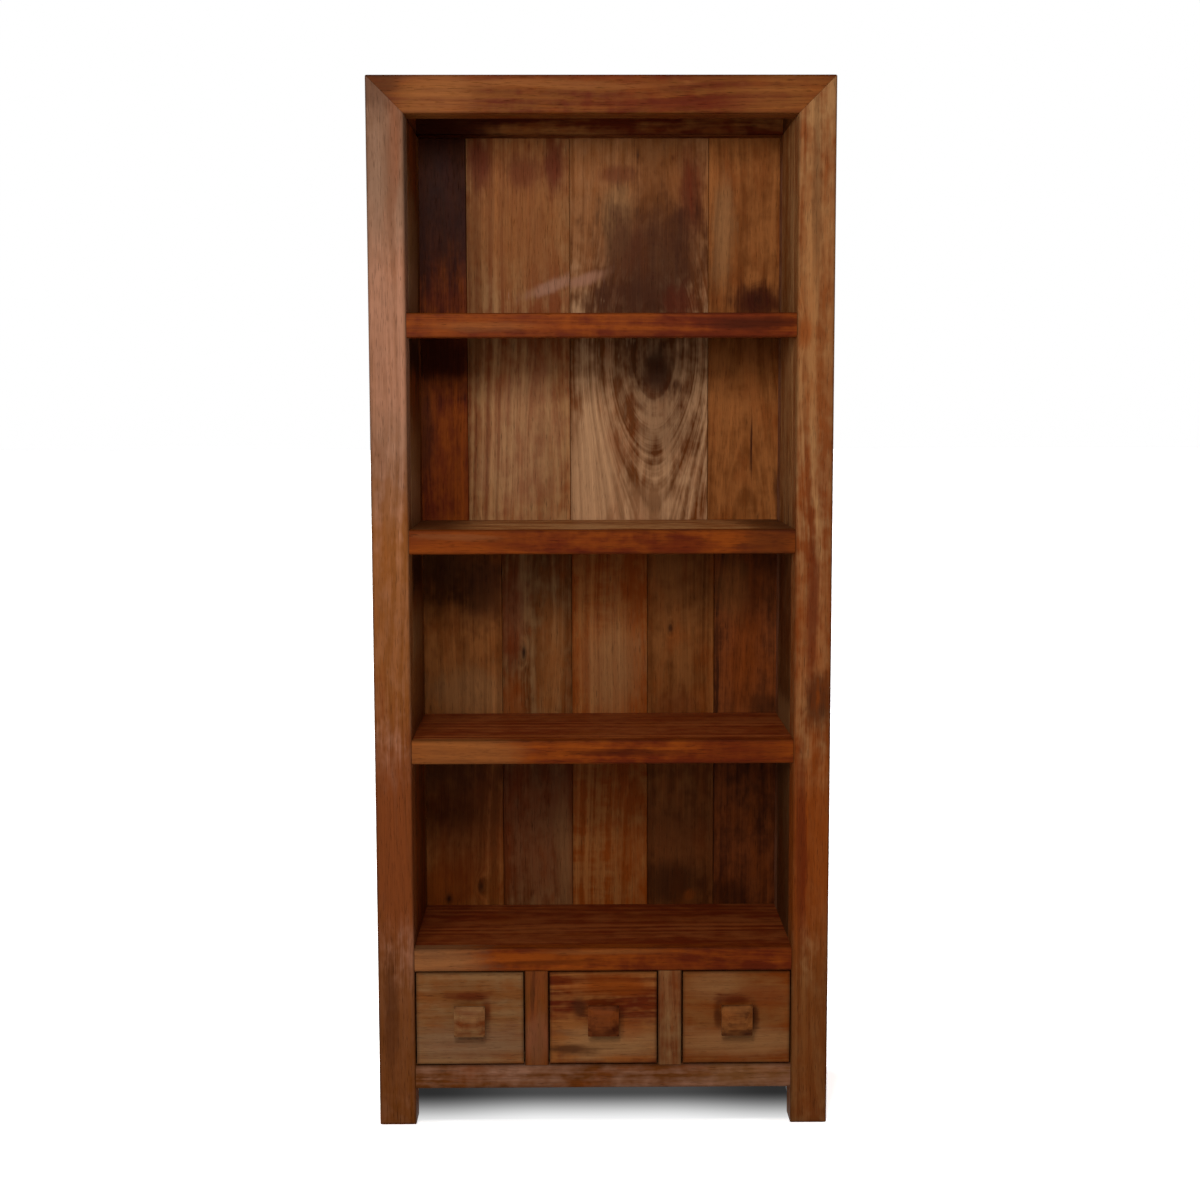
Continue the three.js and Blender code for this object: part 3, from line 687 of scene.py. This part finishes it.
def dress_boards(boards, slot, cutter=None):
    """Dresses boards of the case. The cutter is for the back boards alone."""
    for node, board in boards.items():
        dress(node, f"case_{node}", board, slot, "case", cutter if "board" in node else None)


class BOOKCASE_OT_posts(bpy.types.Operator):
    """Dress the four posts"""
    bl_idname = "bookcase.posts"
    bl_label = "Posts"

    def execute(self, context):
        dress_boards(POST_BOARDS, "post_wood")
        return {"FINISHED"}


class BOOKCASE_OT_top(bpy.types.Operator):
    """Dress the mitred top frame and its panel"""
    bl_idname = "bookcase.top"
    bl_label = "Top frame"

    def execute(self, context):
        dress_boards(TOP_BOARDS, "top_frame_wood")
        return {"FINISHED"}


class BOOKCASE_OT_sides(bpy.types.Operator):
    """Dress the side panels and their rails"""
    bl_idname = "bookcase.sides"
    bl_label = "Sides"

    def execute(self, context):
        dress_boards(SIDE_BOARDS, "panel_wood")
        return {"FINISHED"}


class BOOKCASE_OT_shelves(bpy.types.Operator):
    """Dress the three shelves and their front rails"""
    bl_idname = "bookcase.shelves"
    bl_label = "Shelves"

    def execute(self, context):
        dress_boards(SHELF_BOARDS, "shelf_wood")
        return {"FINISHED"}


class BOOKCASE_OT_base(bpy.types.Operator):
    """Dress the deck, the drawer openings and what guides the drawers"""
    bl_idname = "bookcase.base"
    bl_label = "Drawer base"

    def execute(self, context):
        dress_boards(BASE_BOARDS, "shelf_wood")
        dress_boards(GUIDE_BOARDS, "panel_wood")
        return {"FINISHED"}


def screw_tree():
    """A tree that drives a cross-headed screw into every point, its head towards the back."""
    tree = bpy.data.node_groups.new("cross_headed_screws", "GeometryNodeTree")
    sizes = ("Head Radius", "Foot Radius", "Head Height", "Shank Radius", "Shank Length",
             "Slot Length", "Slot Width", "Slot Depth")
    sockets = [("Points", "NodeSocketGeometry"), *((size, "NodeSocketFloat") for size in sizes),
               ("Seed", "NodeSocketInt"), ("Finish", "NodeSocketMaterial")]
    for name, kind in sockets:
        socket = tree.interface.new_socket(name, in_out="INPUT", socket_type=kind)
        if kind == "NodeSocketFloat":
            socket.subtype = "DISTANCE"
    tree.interface.new_socket("Screws", in_out="OUTPUT", socket_type="NodeSocketGeometry")
    bench = Bench(tree)
    given = bench.add("NodeGroupInput").socket.node
    size = {name: Field(bench, given.outputs[name]) for name, _ in sockets}

    def vector(x=0.0, y=0.0, z=0.0):
        return bench.add("ShaderNodeCombineXYZ", None, {0: x, 1: y, 2: z})

    def moved(geometry, **how):
        return bench.add("GeometryNodeTransform", None, {"Geometry": geometry, **how})

    head = bench.add("GeometryNodeMeshCone", None, {
        "Vertices": SCREW_SIDES, "Radius Top": size["Head Radius"],
        "Radius Bottom": size["Foot Radius"], "Depth": size["Head Height"]})
    head = moved(head, Translation=vector(z=0.0 - size["Head Height"]))
    reach = size["Shank Length"] + size["Head Height"] / 2
    shank = bench.add("GeometryNodeMeshCylinder", None, {
        "Vertices": SCREW_SIDES, "Radius": size["Shank Radius"], "Depth": reach})
    drop = 0.0 - size["Head Height"] / 2 - reach / 2
    shank = moved(shank, Translation=vector(z=drop))
    body = bench.add("GeometryNodeMeshBoolean",
                     {"operation": "UNION", "solver": "EXACT"}).socket.node
    for part in (head, shank):
        bench.tree.links.new(part.socket, body.inputs["Mesh 2"])
    slots = bench.add("GeometryNodeMeshBoolean", {"operation": "DIFFERENCE", "solver": "EXACT"},
                      {"Mesh 1": Field(bench, body.outputs[0])}).socket.node
    for long, wide in (("Slot Length", "Slot Width"), ("Slot Width", "Slot Length")):
        bar = bench.add("GeometryNodeMeshCube", None, {
            "Size": vector(size[long], size[wide], size["Slot Depth"] * 2)})
        bench.tree.links.new(bar.socket, slots.inputs["Mesh 2"])
    screw = moved(Field(bench, slots.outputs[0]), Rotation=(-math.pi / 2, 0, 0))
    values = bench.add("FunctionNodeRandomValue", {"data_type": "FLOAT_VECTOR"},
                       {"Max": (0.0, math.pi, 0.0), "Seed": size["Seed"]})
    driven = bench.add("GeometryNodeInstanceOnPoints", None, {
        "Points": size["Points"], "Instance": screw, "Rotation": values})
    real = bench.add("GeometryNodeRealizeInstances", None, {"Geometry": driven})
    done = bench.add("GeometryNodeSetMaterial", None,
                     {"Geometry": real, "Material": size["Finish"]})
    bench.add("NodeGroupOutput", None, {"Screws": done})
    return tree


def screw_sizes(head, foot, height, reach, slot):
    """Sizes of a screw, by the names of the tree's inputs. The slot gives its length and width."""
    return {"Head Radius": head, "Foot Radius": foot, "Head Height": height,
            "Shank Radius": bpy.context.scene.bookcase_screws.shank, "Shank Length": reach,
            "Slot Length": slot[0], "Slot Width": slot[1], "Slot Depth": height * CROSS_DEPTH}


def drive_screws(name, places, body, sizes, seed):
    """Screws at the places, made by the tree and turned into one plain mesh."""
    mesh = bpy.data.meshes.new(name)
    mesh.from_pydata(places, [], [])
    piece = placed(name, mesh)
    tree = bpy.data.node_groups.get("cross_headed_screws") or screw_tree()
    driver = piece.modifiers.new("Screws", "NODES")
    driver.node_group = tree
    values = {**sizes, "Seed": seed, "Finish": steel()}
    for socket in tree.interface.items_tree:
        if socket.in_out == "INPUT" and socket.name in values:
            driver[socket.identifier] = values[socket.name]
    settle(piece)
    solid = bmesh.new()
    solid.from_mesh(piece.data)
    piece.data = mesh_from(name, solid)
    piece.data.materials.append(steel())
    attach(piece, body)
    return piece


def steel():
    """Zinc-plated steel, with darker, duller spots scattered by a noise."""
    made = bpy.data.materials.get("screw_steel")
    if made:
        return made
    made, bench = new_material("screw_steel")
    place = bench.add("ShaderNodeTexCoord", out="Object")
    grime = bench.add("ShaderNodeTexNoise", None, {"Vector": place, "Scale": 900.0, "Detail": 3.0})
    marks = bench.add("ShaderNodeTexNoise", None, {"Vector": place, "Scale": 260.0, "Detail": 2.0})
    colour = bench.tinted(grime.between(0.52, 0.75), tone("zinc"), tone("umber"))
    bump = bench.add("ShaderNodeBump", None, {"Strength": 0.4, "Distance": 0.0001, "Height": marks})
    finish_surface(bench, {"Base Color": colour, "Metallic": 1.0 - grime.between(0.6, 0.8),
                           "Roughness": marks * 0.4 + 0.35, "Normal": bump})
    return made


def back_screw_places():
    """Two screws a board at each rail and shelf that the board crosses."""
    screws = bpy.context.scene.bookcase_screws
    top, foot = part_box("top_rail_rear")[0].z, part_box("back_rail")[1].z
    upper, joint, lower, deck = (midway(node, "z") for node in
                                 ("shelf_upper", "shelf_middle", "shelf_lower", "deck"))
    places = []
    for row, count in (("upper", 4), ("lower", 5)):
        names = [f"back_board_{row}_{i + 1}" for i in range(count)]
        low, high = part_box(names[0])[0].z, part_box(names[0])[1].z
        if row == "upper":
            levels = (top + high) / 2, upper, (low + joint + SHELF_HALF) / 2
        else:
            levels = (high + joint - SHELF_HALF) / 2, lower, deck, (low + foot) / 2
        for i, name in enumerate(names):
            left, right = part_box(name)[0].x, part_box(name)[1].x
            if i + 1 < count:
                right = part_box(names[i + 1])[0].x
            for level in levels:
                for end in (screws.inset, 1 - screws.inset):
                    places.append((left + (right - left) * end, BACK - screws.sunk, level))
    return places


def countersinks(places):
    """One object with the hollow of every screw in the back, to cut the boards with."""
    screws = bpy.context.scene.bookcase_screws
    solid = bmesh.new()
    top = screws.head + screws.margin * 2
    for x, y, z in places:
        turn = Matrix.Translation((x, BACK + screws.margin - screws.head_height / 2, z))
        bmesh.ops.create_cone(solid, cap_ends=True, segments=SCREW_SIDES,
                              radius1=screws.shank + screws.margin, radius2=top,
                              depth=screws.head_height + screws.margin * 2,
                              matrix=turn @ Matrix.Rotation(-math.pi / 2, 4, "X"))
    mesh = bpy.data.meshes.new("countersinks")
    solid.to_mesh(mesh)
    solid.free()
    return placed("countersinks", mesh)


class BOOKCASE_OT_back(bpy.types.Operator):
    """Dress the back boards and the rail under them, and screw the boards on"""
    bl_idname = "bookcase.back"
    bl_label = "Back boards"

    def execute(self, context):
        screws = context.scene.bookcase_screws
        places = back_screw_places()
        cutter = countersinks(places)
        dress_boards(BACK_BOARDS, "back_board_wood", cutter)
        bpy.data.objects.remove(cutter)
        sizes = screw_sizes(screws.head, screws.shank, screws.head_height, screws.shank_length,
                            [screws.head * part for part in BACK_CROSS])
        drive_screws("back_screws", places, "case", sizes, BACK_SCREW_SEED)
        return {"FINISHED"}


class BOOKCASE_OT_drawers(bpy.types.Operator):
    """Dress the three drawer boxes and their fronts"""
    bl_idname = "bookcase.drawers"
    bl_label = "Drawers"

    def execute(self, context):
        for drawer in DRAWERS:
            for part, (slot, boards) in DRAWER_BOARDS.items():
                name = f"drawer_{drawer}_{part}"
                dress(name, f"box_{drawer}_{part}", boards[drawer], slot, f"drawer_{drawer}")
        return {"FINISHED"}


KNOB_BOARDS = {
    "left": Board("xz", "tan", "sienna", 0.84, 81, figure=0.4),
    "middle": Board("xz", "sienna", "oxblood", 0.9, 82, figure=0.4),
    "right": Board("xz", "honey", "umber", 0.95, 83, figure=0.4),
}


def rounded_square(half, corner, steps):
    """The corners of a square with rounded corners, round its own middle."""
    points = []
    corner = min(corner, half * 0.9)
    for quarter in range(4):
        centre = Vector((half - corner, half - corner))
        for step in range(steps + 1):
            angle = math.pi / 2 * step / steps
            point = centre + corner * Vector((math.cos(angle), math.sin(angle)))
            points.append(point @ Matrix.Rotation(-math.pi / 2 * quarter, 2))
    return points


def knob_profile(head, reach):
    """Rings of a knob, from the drawer out: how far out, half the width and the corners."""
    knobs = bpy.context.scene.bookcase_knobs
    ease = knobs.corner / 2
    back, rim = knobs.neck_length, reach - knobs.face_rise
    neck, face = head * knobs.neck, head * knobs.face
    slope = knobs.face_rise / (head * (1 - knobs.face))
    rings = (
        (0.0, head * knobs.foot),
        (back - ease * 2, neck),
        (back - ease, neck + ease * 0.2),
        (back, neck + ease),
        (back, head - ease * 1.6),
        (back + ease * 0.4, head - ease * 0.5),
        (back + ease * 1.4, head),
        (rim - ease * 0.8, head),
        (rim - ease * 0.1, head - ease * 0.3),
        (rim + ease * slope, head - ease * 1.2),
    )
    flat = (
        (reach - ease * 0.5, face + ease),
        (reach - ease * 0.1, face - ease * 0.2),
        (reach, face - ease * 1.4),
    )
    return [*((*ring, knobs.corner) for ring in rings), *((*ring, ease) for ring in flat)]


def turn_knob(drawer):
    """One knob, with its rings joined into a closed solid."""
    knobs = bpy.context.scene.bookcase_knobs
    node = f"drawer_{drawer}_knob"
    low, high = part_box(node)
    x, z = midway(node, "x"), midway(node, "z")
    solid = bmesh.new()
    rings = []
    for out, half, corner in knob_profile((high.x - low.x) / 2, high.y - low.y):
        rings.append([solid.verts.new((x + px, high.y - out, z + pz))
                      for px, pz in rounded_square(half, corner, knobs.corner_steps)])
    for first, second in zip(rings, rings[1:]):
        for i in range(len(first)):
            j = (i + 1) % len(first)
            solid.faces.new((first[i], first[j], second[j], second[i]))
    solid.faces.new(rings[0])
    solid.faces.new(rings[-1])
    bmesh.ops.recalc_face_normals(solid, faces=solid.faces)
    name = f"knob_{drawer}"
    piece = placed(name, mesh_from(name, solid))
    piece.data.materials.append(timber(f"{name}_wood", KNOB_BOARDS[drawer], low, high))
    normals = piece.modifiers.new("Flat faces", "WEIGHTED_NORMAL")
    normals.keep_sharp = True
    settle(piece)
    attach(piece, f"drawer_{drawer}")
    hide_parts(node)


def drive_knob_screw(drawer):
    """The screw that holds a knob, driven from inside its drawer."""
    knob, node = f"drawer_{drawer}_knob", f"drawer_{drawer}_knob_screw"
    low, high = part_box(node)
    place = midway(knob, "x"), high.y, midway(knob, "z")
    radius = (high.x - low.x) / 2
    sizes = screw_sizes(radius * KNOB_SCREW_TOP, radius, KNOB_SCREW_HEAD,
                        high.y - low.y - KNOB_SCREW_HEAD, [radius * part for part in KNOB_CROSS])
    screw = drive_screws(f"knob_screw_{drawer}", [place], f"drawer_{drawer}", sizes,
                         KNOB_SCREW_SEED)
    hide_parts(node)


class BOOKCASE_OT_knobs(bpy.types.Operator):
    """Turn the three square knobs: a neck, a head with eased edges and four sloping facets"""
    bl_idname = "bookcase.knobs"
    bl_label = "Knobs"

    def execute(self, context):
        for drawer in DRAWERS:
            turn_knob(drawer)
            drive_knob_screw(drawer)
        return {"FINISHED"}


CAMERA_PLACE = -0.0449, -3.8633, 1.2757
CAMERA_RIGHT = 0.999935, -0.011188, -0.002166
CAMERA_UP = 0.003494, 0.120088, 0.992757
CAMERA_BACK = -0.010846, -0.992700, 0.120120
SENSOR = 36.0
FRAME_PIXELS = 1200.0
FOCAL_PIXELS = 2134.4
CENTRE_DROP_PIXELS = 65.2

# Soft lamps: name, place and target. Suns: name, place and the setting with their strength.
SOFT_LAMPS = (("key", (-0.25, -2.46, 1.99), (0, 0, 1.55)),
              ("screen", (-1.3, -3.1, 1.62), (0, 0, 1.4)))
LAMP_SPREAD = math.radians(140)
SUNS = (("high", (0, -3.0, 4.4), "high_strength"),
        ("rear_left", (-3.0, 2.4, 2.6), "rear_strength"),
        ("rear_right", (3.0, 2.4, 2.6), "rear_strength"))
SUN_TARGET = 0, 0, 0.6
SUN_ANGLE = math.radians(30)

FLOOR_REACH = 60.0
FLOOR_PLAIN = 0.85, 0.85, 0.85, 1
# The painted shadow under the case, added to its real shadows: where it fades out at the sides,
# from the middle, and where it fades in and out behind the front.
SHADE_SIDES = 0.345, 0.375
SHADE_START = 0.0, 0.03
SHADE_END = 0.26, 0.34
# From one place behind the front to another, the painted shadow goes from one level to another.
SHADE_FADE = -0.012, 0.176, 1.0, 0.065
# The painted shadow is darker near the legs: from one place beside the middle to another, and by
# one amount to another between two places behind the front.
LEG_SIDES = 0.1, 0.33
LEG_FADE = 0.01, 0.165, 0.12, 0.6


def aimed(name, data, place, target):
    """A lamp at a place, turned towards a target."""
    lamp = placed(name, data)
    lamp.location = place
    lamp.rotation_euler = (Vector(target) - Vector(place)).to_track_quat("-Z", "Y").to_euler()


def set_camera(scene):
    """The camera, as fitted to the edges in the photograph."""
    data = bpy.data.cameras.new("camera")
    data.sensor_fit = "HORIZONTAL"
    data.sensor_width = SENSOR
    data.lens = FOCAL_PIXELS / FRAME_PIXELS * SENSOR
    data.shift_y = CENTRE_DROP_PIXELS / FRAME_PIXELS
    camera = placed("camera", data)
    turn = Matrix((CAMERA_RIGHT, CAMERA_UP, CAMERA_BACK)).transposed().to_4x4()
    camera.matrix_world = Matrix.Translation(CAMERA_PLACE) @ turn
    scene.camera = camera


def set_lamps(stage):
    """Two soft lamps and three suns."""
    for name, place, target in SOFT_LAMPS:
        area = bpy.data.lights.new(name, "AREA")
        area.shape = "SQUARE"
        area.size = getattr(stage, f"{name}_size")
        area.energy = getattr(stage, f"{name}_power")
        area.spread = LAMP_SPREAD
        aimed(name, area, place, target)
    for name, place, strength in SUNS:
        sun = bpy.data.lights.new(name, "SUN")
        sun.energy = getattr(stage, strength)
        sun.angle = SUN_ANGLE
        aimed(name, sun, place, SUN_TARGET)


def seen(bench):
    """One where the camera sees a surface, also in metal or glass, and nothing elsewhere."""
    rays = bench.add("ShaderNodeLightPath").socket.node
    camera_ray, glossy_ray, clear_ray = (Field(bench, rays.outputs[name]) for name in
                                         ("Is Camera Ray", "Is Glossy Ray", "Is Transmission Ray"))
    return camera_ray.most(glossy_ray).most(clear_ray)


def set_room(scene, stage):
    """A world that looks white and gives little light."""
    world = bpy.data.worlds.new("room")
    scene.world = world
    world.use_nodes = True
    world.node_tree.nodes.clear()
    bench = Bench(world.node_tree)
    dim = bench.add("ShaderNodeBackground", None, {"Color": WHITE, "Strength": stage.room})
    white = bench.add("ShaderNodeBackground", None, {"Color": WHITE, "Strength": 1.0})
    both = bench.add("ShaderNodeMixShader", None, {0: seen(bench), 1: dim, 2: white})
    bench.add("ShaderNodeOutputWorld", None, {"Surface": both})


def set_floor(stage):
    """A floor that looks white, with the real shadows of the case and a painted shadow under it."""
    material, bench = new_material("floor_white")
    plain = bench.add("ShaderNodeBsdfDiffuse", None, {"Color": FLOOR_PLAIN})
    bright = bench.add("ShaderNodeBsdfDiffuse", None, {"Color": (*(stage.floor_white,) * 3, 1)})
    x, y, _ = bench.split(bench.add("ShaderNodeTexCoord", out="Object"))
    aside, behind = abs(x), y - FRONT
    # A painted shadow under the case, seen by the camera alone.
    near_legs = aside.between(*LEG_SIDES, soft=True) * behind.between(*LEG_FADE)
    painted_shadow_grey = behind.between(*SHADE_FADE, soft=True) * (1.0 - near_legs)
    shade = bench.add("ShaderNodeEmission", None, {"Color": painted_shadow_grey})
    under = aside.between(*SHADE_SIDES, 1.0, 0.0) * behind.between(*SHADE_START, soft=True)
    under = under * behind.between(*SHADE_END, 1.0, 0.0, soft=True)
    bright = bench.add("ShaderNodeMixShader", None, {0: under, 1: bright, 2: shade})
    both = bench.add("ShaderNodeMixShader", None, {0: seen(bench), 1: plain, 2: bright})
    bench.add("ShaderNodeOutputMaterial", None, {"Surface": both})
    material.cycles.emission_sampling = "NONE"
    mesh = bpy.data.meshes.new("floor")
    corners = [(side * FLOOR_REACH, end * FLOOR_REACH, 0)
               for side, end in ((-1, -1), (1, -1), (1, 1), (-1, 1))]
    mesh.from_pydata(corners, [], [(0, 1, 2, 3)])
    floor = placed("floor", mesh)
    mesh.materials.append(material)


class BOOKCASE_OT_stage(bpy.types.Operator):
    """Set up the camera, the lamps, the room and the floor"""
    bl_idname = "bookcase.stage"
    bl_label = "Stage"

    def execute(self, context):
        scene = context.scene
        scene.view_settings.view_transform = "Standard"
        set_camera(scene)
        set_lamps(scene.bookcase_stage)
        set_room(scene, scene.bookcase_stage)
        set_floor(scene.bookcase_stage)
        return {"FINISHED"}


OPERATORS = (BOOKCASE_OT_stage, BOOKCASE_OT_posts, BOOKCASE_OT_top, BOOKCASE_OT_sides,
             BOOKCASE_OT_shelves, BOOKCASE_OT_base, BOOKCASE_OT_back, BOOKCASE_OT_drawers,
             BOOKCASE_OT_knobs)


class BOOKCASE_PT_panel(bpy.types.Panel):
    """The bookcase's settings and steps"""
    bl_idname = "BOOKCASE_PT_panel"
    bl_label = "Bookcase"
    bl_space_type = "VIEW_3D"
    bl_region_type = "UI"
    bl_category = "Bookcase"

    def draw(self, context):
        for group in GROUP_TYPES:
            column = self.layout.column()
            for name in GROUP_TYPES[group].__annotations__:
                column.prop(getattr(context.scene, group), name)
        for operator in OPERATORS:
            self.layout.operator(operator.bl_idname)


GROUP_TYPES = {"bookcase_stains": BookcaseStains, "bookcase_timber": BookcaseTimber,
               "bookcase_knobs": BookcaseKnobs, "bookcase_screws": BookcaseScrews,
               "bookcase_stage": BookcaseStage}
CLASSES = (*GROUP_TYPES.values(), *OPERATORS, BOOKCASE_PT_panel)


def register():
    for cls in CLASSES:
        bpy.utils.register_class(cls)
    for name, kind in GROUP_TYPES.items():
        setattr(bpy.types.Scene, name, PointerProperty(type=kind))


def unregister():
    for name in GROUP_TYPES:
        delattr(bpy.types.Scene, name)
    for cls in reversed(CLASSES):
        bpy.utils.unregister_class(cls)


def main():
    register()
    for operator in OPERATORS:
        getattr(bpy.ops.bookcase, operator.bl_idname.split(".")[1])()


if __name__ == "__main__":
    main()
